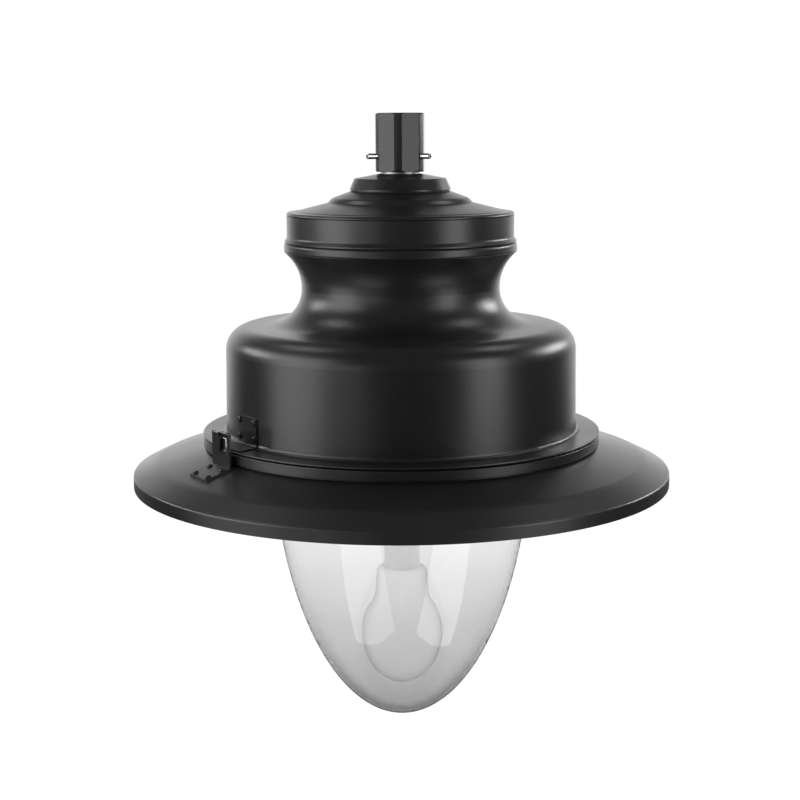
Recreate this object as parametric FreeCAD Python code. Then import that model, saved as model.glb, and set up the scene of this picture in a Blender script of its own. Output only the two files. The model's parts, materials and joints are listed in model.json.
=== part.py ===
import FreeCAD, Part

import math
import os

# Pendant lantern head for a post arm: a spun black canopy with a brim, a clear bowl under it,
# a pipe coupler on top and the lamp gear inside. Millimetres, +Z up.
# Heights are measured up from the brim's lower edge; the finished solids are then moved down
# so that the origin is the centre of the coupler's mouth, where the hanging pipe goes in.

# Pipe coupler
coupler_length = 61.4
coupler_turned_radius = 27.0
coupler_flat_radius = 25.2
coupler_corner_azimuth = -4.8
coupler_chamfer = 1.6
pipe_radius = 16.85
pipe_clearance = 0.35
pipe_bore_depth = 50.0
cable_bore_radius = 9.0
spigot_radius = 15.0
spigot_tail = 6.8
coupler_washer_radius = 20.6
coupler_washer_thickness = 2.0
locknut_flat_radius = 23.0
locknut_thickness = 7.0

# Clamp screws of the coupler
clamp_screw_radius = 3.0
clamp_screw_clearance = 0.05
clamp_screw_rise = 16.4
clamp_screw_reach = 38.5
clamp_screw_setback = 0.2
clamp_screw_chamfer = 0.7
clamp_key_radius = 1.6
clamp_key_depth = 3.0
clamp_screw_azimuths = {"right": 55.2, "left": -64.8, "rear": 175.2}

# Collar between the coupler and the roof
collar_gasket_thickness = 1.2
collar_edge_rise = 1.5
collar_edge_radius = 53.8
collar_shoulder_rise = 12.5
collar_shoulder_radius = 49.0
collar_crest_rise = 17.5
collar_crest_radius = 22.0
collar_shoulder_rounding = 1.2
collar_wall = 6.0
collar_hub_radius = 27.0
collar_gasket_inset = 1.4

# Roof with its two stepped tiers
roof_sheet = 2.5
roof_top_rise = 24.4
roof_top_radius = 54.0
roof_step_radius = 73.0
roof_step_rise = 17.4
roof_groove_radius = 77.5
roof_groove_rise = 12.5
roof_tier_inset = 11.6
roof_tier_rise = 4.3
roof_flat_inset = 8.6
roof_flat_rise = 3.1
roof_step_rounding = 7.0
roof_groove_rounding = 3.0
roof_tier_rounding = 5.0
roof_rim_rounding = 2.6

# Crown ring, the short cylinder under the roof
crown_radius = 121.6
crown_height = 28.7
crown_wall = 3.2
crown_top_chamfer = 0.9
crown_foot_overhang = 2.6
crown_foot_thickness = 1.4
crown_foot_rise = 3.5
crown_foot_rounding = 4.0

# Housing: bead, waist, shoulder, drum and flange
housing_sheet = 3.0
bead_overhang = 3.2
bead_height = 9.2
bead_rounding = 3.6
neck_start_overhang = 1.5
neck_start_drop = 11.7
neck_corner_drop = 26.5
neck_height = 90.4
waist_radius = 106.5
neck_bend_radius = 50.0
shoulder_corner_rise = 5.3
waist_bend_radius = 38.0
drum_ring_gap = 22.3
drum_height = 111.8
shoulder_bend_radius = 24.5
drum_foot_spread = 1.6
drum_foot_bend_radius = 4.0
flange_top_height = 56.0
flange_thickness = 2.5
flange_overhang = 25.1
flange_ledge_inset = 11.9
flange_edge_rounding = 1.1

# Gear tray and what stands on it
tray_sheet = 1.5
tray_rise = 32.0
tray_bend_inset = 39.9
tray_rim_inset = 8.9
tray_foot_inset = 3.9
tray_bend_radius = 4.0
tray_screw_count = 4
tray_screw_inset = 7.3
tray_screw_radius = 2.0
tray_screw_head_radius = 3.0
tray_screw_head_height = 2.2
tray_screw_first_azimuth = 30.0
ballast_size = (116.0, 66.0, 54.0)
ballast_place = (0.0, 74.0)
ballast_winding_share = 0.62
ballast_bobbin_overhang = 6.0
ballast_foot_thickness = 3.0
ballast_foot_length = 12.0
ignitor_radius = 19.0
ignitor_height = 62.0
ignitor_place = (-78.0, -8.0)
capacitor_radius = 20.0
capacitor_height = 74.0
capacitor_place = (78.0, -8.0)
capacitor_lid_rounding = 2.5
can_stud_radius = 4.0
can_nut_flat_radius = 6.5
can_nut_thickness = 4.0
terminal_size = (72.0, 22.0, 20.0)
terminal_place = (0.0, -84.0)
terminal_ways = 5
terminal_screw_radius = 2.4
terminal_slot_depth = 4.0
gear_screw_radius = 2.0
gear_screw_head_radius = 3.6
gear_screw_head_height = 2.4

# Lampholder, lamp and reflector
holder_bracket_sheet = 2.0
holder_bracket_width = 24.0
holder_bracket_gap = 58.0
holder_bracket_foot = 16.0
holder_radius = 27.0
holder_skirt_radius = 24.5
holder_body_height = 38.0
holder_skirt_height = 26.0
holder_mouth_drop = 162.0
holder_mouth_radius = 21.0
holder_pocket_depth = 40.0
holder_rounding = 2.5
cap_radius = 19.75
cap_contact_radius = 5.0
cap_contact_rounding = 1.5
cap_shell_length = 30.0
cap_neck_drop = 27.0
lamp_throat_radius = 28.5
lamp_throat_drop = 17.0
lamp_swell_share = 0.4
lamp_belly_radius = 45.0
lamp_belly_drop = 77.0
lamp_tip_drop = 133.0
lamp_glass = 1.2
arc_tube_radius = 7.0
arc_tube_length = 62.0
arc_tube_drop = 83.0
arc_stem_radius = 2.0
reflector_sheet = 1.2
reflector_neck_radius = 46.0
reflector_neck_drop = 8.0
reflector_mouth_inset = 25.9
reflector_depth = 23.0
reflector_lip = 10.0
reflector_bulge_share = 0.16
reflector_hanger_radius = 3.0
reflector_hanger_circle = 60.0
reflector_hanger_count = 3
reflector_hanger_head_radius = 5.0

# Cable gland at the foot of the coupler
gland_radius = 11.0
gland_flat_radius = 12.5
gland_nut_height = 10.0
gland_body_height = 9.0
gland_cable_radius = 5.0

# Seal between head and canopy
seal_inner_inset = 17.0
seal_outer_inset = 7.0
seal_thickness = 0.7
seal_gap = 0.3

# Canopy ring, brim and bowl carrier
ring_inset = 0.3
ring_skirt_drop = 10.1
ring_neck_inset = 2.7
ring_wall = 3.0
ring_lip_thickness = 2.0
ring_lip_inset = 17.2
ring_edge_rounding = 0.7
brim_sheet = 2.5
brim_cone_width = 35.0
brim_cone_height = 30.1
brim_cone_slope = 16.1
brim_inner_inset = 7.0
brim_bend_width = 49.8
brim_width = 75.5
brim_edge_height = 13.4
brim_bend_rounding = 40.0
brim_edge_rounding = 2.8
brim_hem_radius = 1.8
carrier_lip_thickness = 1.5
carrier_sheet = 2.0
carrier_depth = 8.5
carrier_hole_clearance = 1.2
carrier_wall_inset = 17.5
carrier_lip_inset = 7.4
carrier_bend_radius = 2.5
carrier_rivet_count = 12
carrier_rivet_inset = 11.0
carrier_rivet_radius = 1.6
carrier_rivet_head_radius = 2.9
carrier_rivet_head_height = 1.1

# Clear bowl and what holds it
bowl_radius = 142.0
bowl_tip_clearance = 35.2
bowl_wall = 3.0
bowl_rim_width = 9.0
bowl_rim_thickness = 3.0
bowl_gasket_thickness = 0.8
bowl_gasket_width = 7.0
clamp_ring_sheet = 1.5
clamp_ring_inner_inset = 1.0
clamp_ring_rim_gap = 1.6
clamp_ring_flange_width = 13.4
clamp_ring_screw_count = 8
clamp_ring_screw_place = 8.4
clamp_ring_screw_radius = 2.0
clamp_ring_screw_head_radius = 3.6
clamp_ring_screw_head_height = 2.0
bowl_gate_radius = 2.0
bowl_gate_height = 0.8

# Catch side and hinge side
catch_azimuth = -55.4
bracket_azimuth = -56.2
hinge_azimuth = catch_azimuth + 180.0
bracket_sheet = 1.5
bracket_width = 38.6
bracket_rise = 31.0
bracket_shelf_inset = 2.0
bracket_shelf_width = 49.0
rivet_radius = 1.6
rivet_head_radius = 3.2
rivet_head_height = 1.8
rivet_head_rounding = 1.3
rivet_dimple_radius = 1.1
rivet_dimple_depth = 1.0
rivet_tail_radius = 2.5
rivet_tail_height = 2.0
rivet_play = 0.05
drum_rivet_rises = (26.3, 9.2)
drum_rivet_spacing = 29.0
foot_rivet_spacing = 26.0

# Hasp plate on the brim, with the window that the catch holds
hasp_sheet = 2.0
hasp_width = 36.0
hasp_gap = 5.6
hasp_rise = 18.6
hasp_foot_length = 28.9
hasp_window_width = 14.0
hasp_window_height = 16.5
hasp_window_sill_drop = 20.6
hasp_window_margin = 5.2
hasp_notch_depth = 2.2
hasp_notch_clearance = 0.7
hasp_corner_rounding = 1.2
hasp_rivet_places = (8.1, 24.2)

# Spring catch on the head
catch_travel = 1.5
catch_gap = 0.35
nose_thickness = 2.0
nose_width = 10.0
nose_right_place = 6.0
nose_height = 13.5
nose_sill_gap = 0.9
nose_hole_radius = 0.9
nose_hole_share = 0.40
lever_sheet = 1.2
lever_top_gap = 0.8
lever_plate_height = 8.5
lever_shelf_gap = 1.2
lever_bridge_width = 7.0
lever_bridge_place = -8.0
tab_clearance = 0.2
tab_width = 14.3
tab_height = 17.6
tab_corner_rounding = 2.5
plunger_radius = 2.5
plunger_clearance = 0.06
plunger_rise = 8.6
guide_front_inset = 5.8
guide_depth = 6.0
guide_place = -21.5
guide_width = 9.0
guide_height = 12.0
plunger_tail = 3.0
catch_spring_wire = 0.5
catch_spring_clearance = 0.3
catch_spring_turns = 4
catch_spring_sides = 12

# Hinge opposite the catch
hinge_gap = 19.0
hinge_lift = 4.782
knuckle_radius = 3.6
hinge_pin_radius = 2.0
hinge_clearance = 0.06
hinge_pin_head_radius = 3.2
hinge_pin_head_length = 1.4
hinge_width = 40.0
hinge_knuckle_width = 14.0
hinge_side_gap = 0.5
hinge_arm_sheet = 2.0
hinge_leaf_start = 4.6
hinge_leaf_length = 29.0
hinge_leaf_rivet_places = (11.0, 23.5)

# Small forked clip on the flange
clip_azimuth = 3.2
clip_inset = 8.5
clip_base = (11.5, 6.0, 0.9)
clip_prong = (2.6, 1.3, 10.4)
clip_slot = 1.8

# Places that follow from the sizes above: radii, from the bowl outwards and the crown's
clamp_ring_inner_radius = bowl_radius - clamp_ring_inner_inset
clamp_ring_step_radius = bowl_radius + bowl_rim_width + clamp_ring_rim_gap
clamp_ring_screw_circle = clamp_ring_step_radius + clamp_ring_screw_place
clamp_ring_outer_radius = clamp_ring_step_radius + clamp_ring_flange_width
drum_top_radius = clamp_ring_outer_radius + drum_ring_gap
drum_foot_radius = drum_top_radius + drum_foot_spread
flange_radius = drum_foot_radius + flange_overhang
flange_ledge_radius = drum_foot_radius - flange_ledge_inset
tray_radius = drum_foot_radius - tray_bend_inset
tray_rim_radius = drum_foot_radius - tray_rim_inset
tray_foot_radius = drum_foot_radius - tray_foot_inset
tray_screw_circle = drum_foot_radius - tray_screw_inset
reflector_mouth_radius = drum_foot_radius - reflector_mouth_inset
seal_inner_radius = flange_radius - seal_inner_inset
seal_outer_radius = flange_radius - seal_outer_inset
ring_radius = flange_radius - ring_inset
ring_neck_radius = ring_radius - ring_neck_inset
ring_lip_radius = ring_radius - ring_lip_inset
carrier_wall_radius = ring_neck_radius - carrier_wall_inset
carrier_lip_radius = ring_neck_radius - carrier_lip_inset
carrier_rivet_circle = ring_neck_radius - carrier_rivet_inset
brim_inner_radius = ring_neck_radius - brim_inner_inset
brim_cone_radius = flange_radius + brim_cone_width
brim_bend_radius = flange_radius + brim_bend_width
brim_radius = flange_radius + brim_width
bracket_shelf_radius = flange_radius - bracket_shelf_inset
hasp_inner_radius = flange_radius + hasp_gap
hasp_foot_radius = hasp_inner_radius + hasp_foot_length
hasp_rivet_radii = tuple(hasp_inner_radius + place for place in hasp_rivet_places)
guide_front_radius = flange_radius - guide_front_inset
hinge_radius = flange_radius + hinge_gap
clip_radius = flange_radius - clip_inset
roof_rim_radius = crown_radius
roof_tier_radius = crown_radius - roof_tier_inset
roof_flat_radius = crown_radius - roof_flat_inset
crown_foot_radius = crown_radius + crown_foot_overhang
bead_radius = crown_radius + bead_overhang
neck_start_radius = crown_radius + neck_start_overhang
pipe_bore_radius = pipe_radius + pipe_clearance

# Heights, stacked upwards from the flange
drum_top_height = flange_top_height + drum_height
shoulder_corner_height = drum_top_height + shoulder_corner_rise
crown_foot_height = drum_top_height + neck_height
neck_start_height = crown_foot_height - neck_start_drop
neck_corner_height = crown_foot_height - neck_corner_drop
roof_rim_height = crown_foot_height + crown_height
roof_flat_height = roof_rim_height + roof_flat_rise
roof_tier_height = roof_rim_height + roof_tier_rise
roof_groove_height = roof_rim_height + roof_groove_rise
roof_step_height = roof_rim_height + roof_step_rise
roof_top_height = roof_rim_height + roof_top_rise
collar_seat_height = roof_top_height + collar_gasket_thickness
collar_edge_height = collar_seat_height + collar_edge_rise
collar_shoulder_height = collar_seat_height + collar_shoulder_rise
collar_crest_height = collar_seat_height + collar_crest_rise
coupler_foot_height = collar_crest_height + coupler_washer_thickness
clamp_screw_height = coupler_foot_height + clamp_screw_rise
mouth_height = coupler_foot_height + coupler_length
spigot_length = coupler_foot_height - roof_top_height + roof_sheet + locknut_thickness + spigot_tail
bracket_top_height = flange_top_height + bracket_rise
drum_rivet_heights = tuple(flange_top_height + rise for rise in drum_rivet_rises)
hasp_top_height = flange_top_height + hasp_rise
hasp_window_sill_height = hasp_top_height - hasp_window_sill_drop
plunger_height = flange_top_height + plunger_rise
tray_height = flange_top_height + tray_rise
tray_base_height = flange_top_height + tray_sheet

# Heights, hung downwards from the tray and the flange
holder_mouth_height = tray_height - holder_mouth_drop
cap_neck_height = holder_mouth_height - cap_neck_drop
lamp_throat_height = cap_neck_height - lamp_throat_drop
lamp_belly_height = cap_neck_height - lamp_belly_drop
lamp_tip_height = cap_neck_height - lamp_tip_drop
arc_tube_height = cap_neck_height - arc_tube_drop
reflector_neck_height = tray_height - reflector_neck_drop
reflector_mouth_height = reflector_neck_height - reflector_depth
flange_bottom_height = flange_top_height - flange_thickness
seal_bottom_height = flange_bottom_height - seal_thickness
ring_top_height = seal_bottom_height - seal_gap
ring_skirt_height = ring_top_height - ring_skirt_drop
carrier_height = ring_top_height - carrier_depth
carrier_top_height = carrier_height + carrier_sheet
bowl_mouth_height = carrier_top_height + bowl_gasket_thickness + bowl_rim_thickness
bowl_depth = bowl_mouth_height - bowl_rim_thickness / 2 - lamp_tip_height + bowl_tip_clearance
hinge_height = (brim_cone_height + hinge_lift
                + (brim_cone_radius - hinge_radius) * math.tan(math.radians(brim_cone_slope)))
tab_gap = catch_travel + tab_clearance

# Shorter edges than this are left out of an outline
least_edge = 0.001

Z_AXIS = FreeCAD.Vector(0, 0, 1)
ORIGIN = FreeCAD.Vector(0, 0, 0)


# Geometry helpers

def point(radius, height):
    return FreeCAD.Vector(radius, 0, height)


def rounded_edges(corners, closed):
    """Lines and tangent arcs through corners given as (radius, height) or (radius, height, rounding)."""
    count = len(corners)
    places = [point(corner[0], corner[1]) for corner in corners]
    starts = []
    ends = []
    arcs = []
    for index, corner in enumerate(corners):
        rounding = corner[2] if len(corner) > 2 else 0
        at_end = not closed and index in (0, count - 1)
        if at_end or not rounding:
            starts.append(places[index])
            ends.append(places[index])
            arcs.append(None)
            continue
        before = (places[index - 1] - places[index]).normalize()
        after = (places[(index + 1) % count] - places[index]).normalize()
        half_angle = before.getAngle(after) / 2
        tangent = rounding / math.tan(half_angle)
        bisector = (before + after).normalize()
        centre = places[index] + bisector * (rounding / math.sin(half_angle))
        first = places[index] + before * tangent
        last = places[index] + after * tangent
        middle = centre - bisector * rounding
        starts.append(first)
        ends.append(last)
        arcs.append(Part.Arc(first, middle, last).toShape())
    edges = []
    for index in range(count):
        if arcs[index] is not None:
            edges.append(arcs[index])
        follows = starts[(index + 1) % count]
        if (closed or index < count - 1) and not ends[index].isEqual(follows, least_edge):
            edges.append(Part.makeLine(ends[index], follows))
    return edges


def turned(corners):
    """A solid of revolution about Z from a closed outline."""
    face = Part.Face(Part.Wire(rounded_edges(corners, True)))
    return face.revolve(ORIGIN, Z_AXIS, 360)


def spun_face(corners, sheet):
    """The section of a sheet whose one side follows the corners; a positive sheet lies to their left."""
    if len(corners) == 2:
        start, end = [point(corner[0], corner[1]) for corner in corners]
        along = (end - start).normalize()
        across = FreeCAD.Vector(-along.z, 0, along.x) * sheet
        return Part.Face(Part.makePolygon([start, end, end + across, start + across, start]))
    wire = Part.Wire(rounded_edges(corners, False))
    return wire.makeOffset2D(sheet, join=2, fill=True, openResult=True, intersection=False)


def spun(corners, sheet):
    return spun_face(corners, sheet).revolve(ORIGIN, Z_AXIS, 360)


def strip(face, half_width, reach):
    """A curved strip with parallel edges about local X, cut from a turned section."""
    span = 2 * math.degrees(math.asin(2 * half_width / reach))
    band = face.revolve(ORIGIN, Z_AXIS, span)
    band.rotate(ORIGIN, Z_AXIS, -span / 2)
    limit = Part.makeBox(2 * reach, 2 * half_width, 2 * reach,
                         FreeCAD.Vector(0, -half_width, -reach))
    return band.common(limit)


def cylinder(radius, height, base, direction=Z_AXIS):
    return Part.makeCylinder(radius, height, base, direction)


def block(x_span, y_span, z_span):
    size = [span[1] - span[0] for span in (x_span, y_span, z_span)]
    return Part.makeBox(size[0], size[1], size[2], FreeCAD.Vector(x_span[0], y_span[0], z_span[0]))


def hexagon(flat_radius, height, base_height):
    corner = flat_radius / math.cos(math.pi / 6)
    rim = [FreeCAD.Vector(corner * math.cos(turn * math.pi / 3), corner * math.sin(turn * math.pi / 3),
                          base_height) for turn in range(7)]
    return Part.Face(Part.makePolygon(rim)).extrude(FreeCAD.Vector(0, 0, height))


def at_azimuth(shape, azimuth):
    """Turns a shape built along local X to an azimuth counted from the front (-Y) towards +X."""
    placed = shape.copy()
    placed.rotate(ORIGIN, Z_AXIS, azimuth - 90)
    return placed


def radial(azimuth):
    angle = math.radians(azimuth - 90)
    return FreeCAD.Vector(math.cos(angle), math.sin(angle), 0)


def ring_of(shape, count, first_azimuth=0.0):
    return [at_azimuth(shape, first_azimuth + 360.0 * index / count) for index in range(count)]


def fused(shapes):
    return shapes[0].fuse(shapes[1:]).removeSplitter() if len(shapes) > 1 else shapes[0]


def brim_height(radius):
    return brim_cone_height - (radius - brim_cone_radius) * math.tan(math.radians(brim_cone_slope))


def drum_radius(height):
    share = (drum_top_height - height) / (drum_top_height - flange_top_height)
    return drum_top_radius + share * (drum_foot_radius - drum_top_radius)


# Coupler group

def coupler_corners():
    foot = coupler_foot_height
    spigot_end = foot - spigot_length
    return [(0, spigot_end), (spigot_radius, spigot_end), (spigot_radius, foot),
            (coupler_flat_radius, foot), (coupler_turned_radius, foot + coupler_chamfer),
            (coupler_turned_radius, mouth_height - coupler_chamfer),
            (coupler_flat_radius, mouth_height), (0, mouth_height)]


def make_pipe_coupler():
    body = turned(coupler_corners())
    hexed = hexagon(coupler_flat_radius, mouth_height - coupler_foot_height, coupler_foot_height)
    spigot = cylinder(spigot_radius, spigot_length, point(0, coupler_foot_height - spigot_length))
    hexed.rotate(ORIGIN, Z_AXIS, coupler_corner_azimuth - 90)
    body = body.common(hexed.fuse(spigot))
    bore_foot = mouth_height - pipe_bore_depth
    body = body.cut(cylinder(pipe_bore_radius, pipe_bore_depth, point(0, bore_foot)))
    body = body.cut(cylinder(cable_bore_radius, mouth_height, ORIGIN))
    hole_radius = clamp_screw_radius + clamp_screw_clearance
    for azimuth in clamp_screw_azimuths.values():
        hole = cylinder(hole_radius, clamp_screw_reach, point(0, clamp_screw_height), radial(azimuth))
        body = body.cut(hole)
    return body.removeSplitter()


def make_coupler_washer():
    thickness = coupler_foot_height - collar_crest_height
    outer = cylinder(coupler_washer_radius, thickness, point(0, collar_crest_height))
    return outer.cut(cylinder(spigot_radius, thickness, point(0, collar_crest_height)))


def make_coupler_locknut():
    base = roof_top_height - roof_sheet - locknut_thickness
    nut = hexagon(locknut_flat_radius, locknut_thickness, base)
    return nut.cut(cylinder(spigot_radius, locknut_thickness, point(0, base)))


def make_clamp_screw(azimuth):
    inner = pipe_bore_radius + clamp_screw_setback
    length = clamp_screw_reach - inner
    axis = radial(azimuth)
    start = axis * inner + point(0, clamp_screw_height)
    shank = cylinder(clamp_screw_radius, length - clamp_screw_chamfer, start, axis)
    tip = Part.makeCone(clamp_screw_radius, clamp_screw_radius - clamp_screw_chamfer, clamp_screw_chamfer,
                        start + axis * (length - clamp_screw_chamfer), axis)
    key = hexagon(clamp_key_radius, clamp_key_depth, 0)
    key.rotate(ORIGIN, FreeCAD.Vector(0, 1, 0), 90)
    key = at_azimuth(key, azimuth)
    key.translate(start + axis * (length - clamp_key_depth))
    return shank.fuse(tip).removeSplitter().cut(key)


def make_cable_gland():
    top = coupler_foot_height - spigot_length
    body = cylinder(gland_radius, gland_body_height, point(0, top - gland_body_height))
    nut = hexagon(gland_flat_radius, gland_nut_height, top - gland_body_height - gland_nut_height)
    shape = body.fuse(nut).removeSplitter()
    length = gland_body_height + gland_nut_height
    return shape.cut(cylinder(gland_cable_radius, length, point(0, top - length)))


# Roof group

def make_top_collar():
    corners = [(spigot_radius, collar_seat_height), (collar_hub_radius, collar_seat_height),
               (collar_hub_radius, collar_shoulder_height - collar_wall),
               (collar_shoulder_radius - collar_wall, collar_shoulder_height - collar_wall),
               (collar_edge_radius - collar_wall, collar_seat_height),
               (collar_edge_radius, collar_seat_height), (collar_edge_radius, collar_edge_height),
               (collar_shoulder_radius, collar_shoulder_height, collar_shoulder_rounding),
               (collar_crest_radius, collar_crest_height), (spigot_radius, collar_crest_height)]
    return turned(corners)


def make_collar_gasket():
    thickness = collar_seat_height - roof_top_height
    base = point(0, roof_top_height)
    outer = cylinder(collar_edge_radius - collar_gasket_inset, thickness, base)
    return outer.cut(cylinder(spigot_radius, thickness, base))


def make_roof_cover():
    corners = [(spigot_radius, roof_top_height), (roof_top_radius, roof_top_height, roof_groove_rounding),
               (roof_step_radius, roof_step_height, roof_step_rounding),
               (roof_groove_radius, roof_groove_height, roof_groove_rounding),
               (roof_tier_radius, roof_tier_height, roof_tier_rounding),
               (roof_flat_radius, roof_flat_height, roof_tier_rounding),
               (roof_rim_radius, roof_flat_height, roof_rim_rounding),
               (roof_rim_radius, roof_rim_height)]
    return spun(corners, -roof_sheet)


def make_crown_ring():
    inner = crown_radius - crown_wall
    foot_top = crown_foot_height + crown_foot_thickness
    corners = [(inner, crown_foot_height), (crown_foot_radius, crown_foot_height),
               (crown_foot_radius, foot_top),
               (crown_radius, foot_top + crown_foot_rise, crown_foot_rounding),
               (crown_radius, roof_rim_height - crown_top_chamfer),
               (crown_radius - crown_top_chamfer, roof_rim_height), (inner, roof_rim_height)]
    return turned(corners)


# Housing

def housing_corners():
    rise = neck_start_height - neck_corner_height
    run = neck_start_radius - waist_radius
    start_height = neck_start_height + rise / run * (bead_radius - neck_start_radius)
    return [(bead_radius, start_height), (waist_radius, neck_corner_height, neck_bend_radius),
            (waist_radius, shoulder_corner_height, waist_bend_radius),
            (drum_top_radius, drum_top_height, shoulder_bend_radius),
            (drum_foot_radius, flange_top_height, drum_foot_bend_radius),
            (flange_radius - flange_thickness, flange_top_height)]


def make_housing():
    shell = spun(housing_corners(), -housing_sheet)
    bead_foot = crown_foot_height - bead_height
    bead = turned([(crown_radius - crown_wall - housing_sheet, crown_foot_height),
                   (bead_radius, crown_foot_height, bead_rounding),
                   (bead_radius, bead_foot, bead_rounding / 2),
                   (neck_start_radius - housing_sheet, neck_start_height),
                   (crown_radius - crown_wall - housing_sheet, bead_foot)])
    flange = turned([(flange_ledge_radius, flange_bottom_height),
                     (flange_radius, flange_bottom_height, flange_edge_rounding),
                     (flange_radius, flange_top_height, flange_edge_rounding),
                     (flange_ledge_radius, flange_top_height)])
    trim = turned([(0, flange_bottom_height), (2 * flange_radius, flange_bottom_height),
                   (2 * flange_radius, crown_foot_height), (0, crown_foot_height)])
    body = fused([shell, bead, flange]).common(trim)
    for side in (bracket_azimuth, hinge_azimuth):
        body = body.cut(drum_rivet_holes(side))
    screw = cylinder(tray_screw_radius, flange_thickness + tray_sheet,
                     point(tray_screw_circle, flange_bottom_height))
    return body.cut(ring_of(screw, tray_screw_count, tray_screw_first_azimuth)).removeSplitter()


def make_head_seal():
    return turned([(seal_inner_radius, seal_bottom_height), (seal_outer_radius, seal_bottom_height),
                   (seal_outer_radius, flange_bottom_height), (seal_inner_radius, flange_bottom_height)])


def make_flange_clip():
    base = block((clip_radius - clip_base[1] / 2, clip_radius + clip_base[1] / 2),
                 (-clip_base[0] / 2, clip_base[0] / 2),
                 (flange_top_height, flange_top_height + clip_base[2]))
    prongs = []
    for side in (-1, 1):
        centre = side * (clip_slot + clip_prong[0]) / 2
        prongs.append(block((clip_radius - clip_prong[1] / 2, clip_radius + clip_prong[1] / 2),
                            (centre - clip_prong[0] / 2, centre + clip_prong[0] / 2),
                            (flange_top_height, flange_top_height + clip_prong[2])))
    return at_azimuth(fused([base] + prongs), clip_azimuth)


# Gear tray group

def make_gear_tray():
    corners = [(holder_bracket_gap / 4, tray_height), (tray_radius, tray_height, tray_bend_radius),
               (tray_rim_radius - tray_bend_radius, tray_base_height, tray_bend_radius),
               (tray_foot_radius, tray_base_height)]
    tray = spun(corners, -tray_sheet)
    screw = cylinder(tray_screw_radius, tray_height, point(tray_screw_circle, flange_bottom_height))
    tray = tray.cut(ring_of(screw, tray_screw_count, tray_screw_first_azimuth))
    return tray.cut([hole for hole in gear_screw_holes()])


def make_tray_screws():
    length = flange_thickness + tray_sheet
    shank = cylinder(tray_screw_radius, length, point(tray_screw_circle, flange_bottom_height))
    head = cylinder(tray_screw_head_radius, tray_screw_head_height, point(tray_screw_circle, tray_base_height))
    screw = shank.fuse(head).removeSplitter()
    return Part.makeCompound(ring_of(screw, tray_screw_count, tray_screw_first_azimuth))


def ballast_foot_places():
    half = ballast_size[0] / 2 + ballast_foot_length / 2
    return [(ballast_place[0] + side * half, ballast_place[1]) for side in (-1, 1)]


def terminal_foot_places():
    half = terminal_size[0] / 2 + ballast_foot_length / 2
    return [(terminal_place[0] + side * half, terminal_place[1]) for side in (-1, 1)]


def holder_foot_places():
    half = holder_bracket_gap / 2 + holder_bracket_sheet + holder_bracket_foot / 2
    return [(side * half, 0) for side in (-1, 1)]


def gear_screw_holes():
    base = tray_height - tray_sheet
    holes = []
    for place in ballast_foot_places() + terminal_foot_places() + holder_foot_places():
        holes.append(cylinder(gear_screw_radius, tray_sheet, FreeCAD.Vector(place[0], place[1], base)))
    for place in (ignitor_place, capacitor_place):
        holes.append(cylinder(can_stud_radius, tray_sheet, FreeCAD.Vector(place[0], place[1], base)))
    places = reflector_hanger_places()
    for place in places:
        holes.append(cylinder(reflector_hanger_radius, tray_sheet, FreeCAD.Vector(place.x, place.y, base)))
    return holes


def make_gear_screws():
    screws = []
    below = tray_height - tray_sheet
    for place in ballast_foot_places() + terminal_foot_places():
        base = FreeCAD.Vector(place[0], place[1], below)
        top = FreeCAD.Vector(place[0], place[1], tray_height + ballast_foot_thickness)
        shank = cylinder(gear_screw_radius, tray_sheet + ballast_foot_thickness, base)
        head = cylinder(gear_screw_head_radius, gear_screw_head_height, top)
        screws.append(shank.fuse(head).removeSplitter())
    for place in holder_foot_places():
        length = tray_sheet + holder_bracket_sheet
        base = FreeCAD.Vector(place[0], place[1], below - holder_bracket_sheet)
        head_base = base - FreeCAD.Vector(0, 0, gear_screw_head_height)
        shank = cylinder(gear_screw_radius, length, base)
        head = cylinder(gear_screw_head_radius, gear_screw_head_height, head_base)
        screws.append(shank.fuse(head).removeSplitter())
    return Part.makeCompound(screws)


def footed_block(size, place):
    """A block that stands on the tray with a screwed foot at each end."""
    x_half = size[0] / 2
    y_half = size[1] / 2
    body = block((place[0] - x_half, place[0] + x_half), (place[1] - y_half, place[1] + y_half),
                 (tray_height, tray_height + size[2]))
    feet = block((place[0] - x_half - ballast_foot_length, place[0] + x_half + ballast_foot_length),
                 (place[1] - gear_screw_head_radius * 2, place[1] + gear_screw_head_radius * 2),
                 (tray_height, tray_height + ballast_foot_thickness))
    shape = body.fuse(feet).removeSplitter()
    for side in (-1, 1):
        centre = FreeCAD.Vector(place[0] + side * (x_half + ballast_foot_length / 2), place[1], tray_height)
        shape = shape.cut(cylinder(gear_screw_radius, ballast_foot_thickness, centre))
    return shape


def make_ballast():
    core = footed_block(ballast_size, ballast_place)
    x_half = ballast_size[0] * ballast_winding_share / 2
    y_half = ballast_size[1] / 2 + ballast_bobbin_overhang
    centre = (ballast_place[0], ballast_place[1])
    winding = block((centre[0] - x_half, centre[0] + x_half), (centre[1] - y_half, centre[1] + y_half),
                    (tray_height + ballast_bobbin_overhang,
                     tray_height + ballast_size[2] - ballast_bobbin_overhang))
    return core.fuse(winding).removeSplitter()


def make_terminal_block():
    body = footed_block(terminal_size, terminal_place)
    pitch = terminal_size[0] / terminal_ways
    for way in range(terminal_ways):
        x = terminal_place[0] - terminal_size[0] / 2 + pitch * (way + 0.5)
        centre = FreeCAD.Vector(x, terminal_place[1], tray_height + terminal_size[2] - terminal_slot_depth)
        body = body.cut(cylinder(terminal_screw_radius, terminal_slot_depth, centre))
    return body


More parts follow.
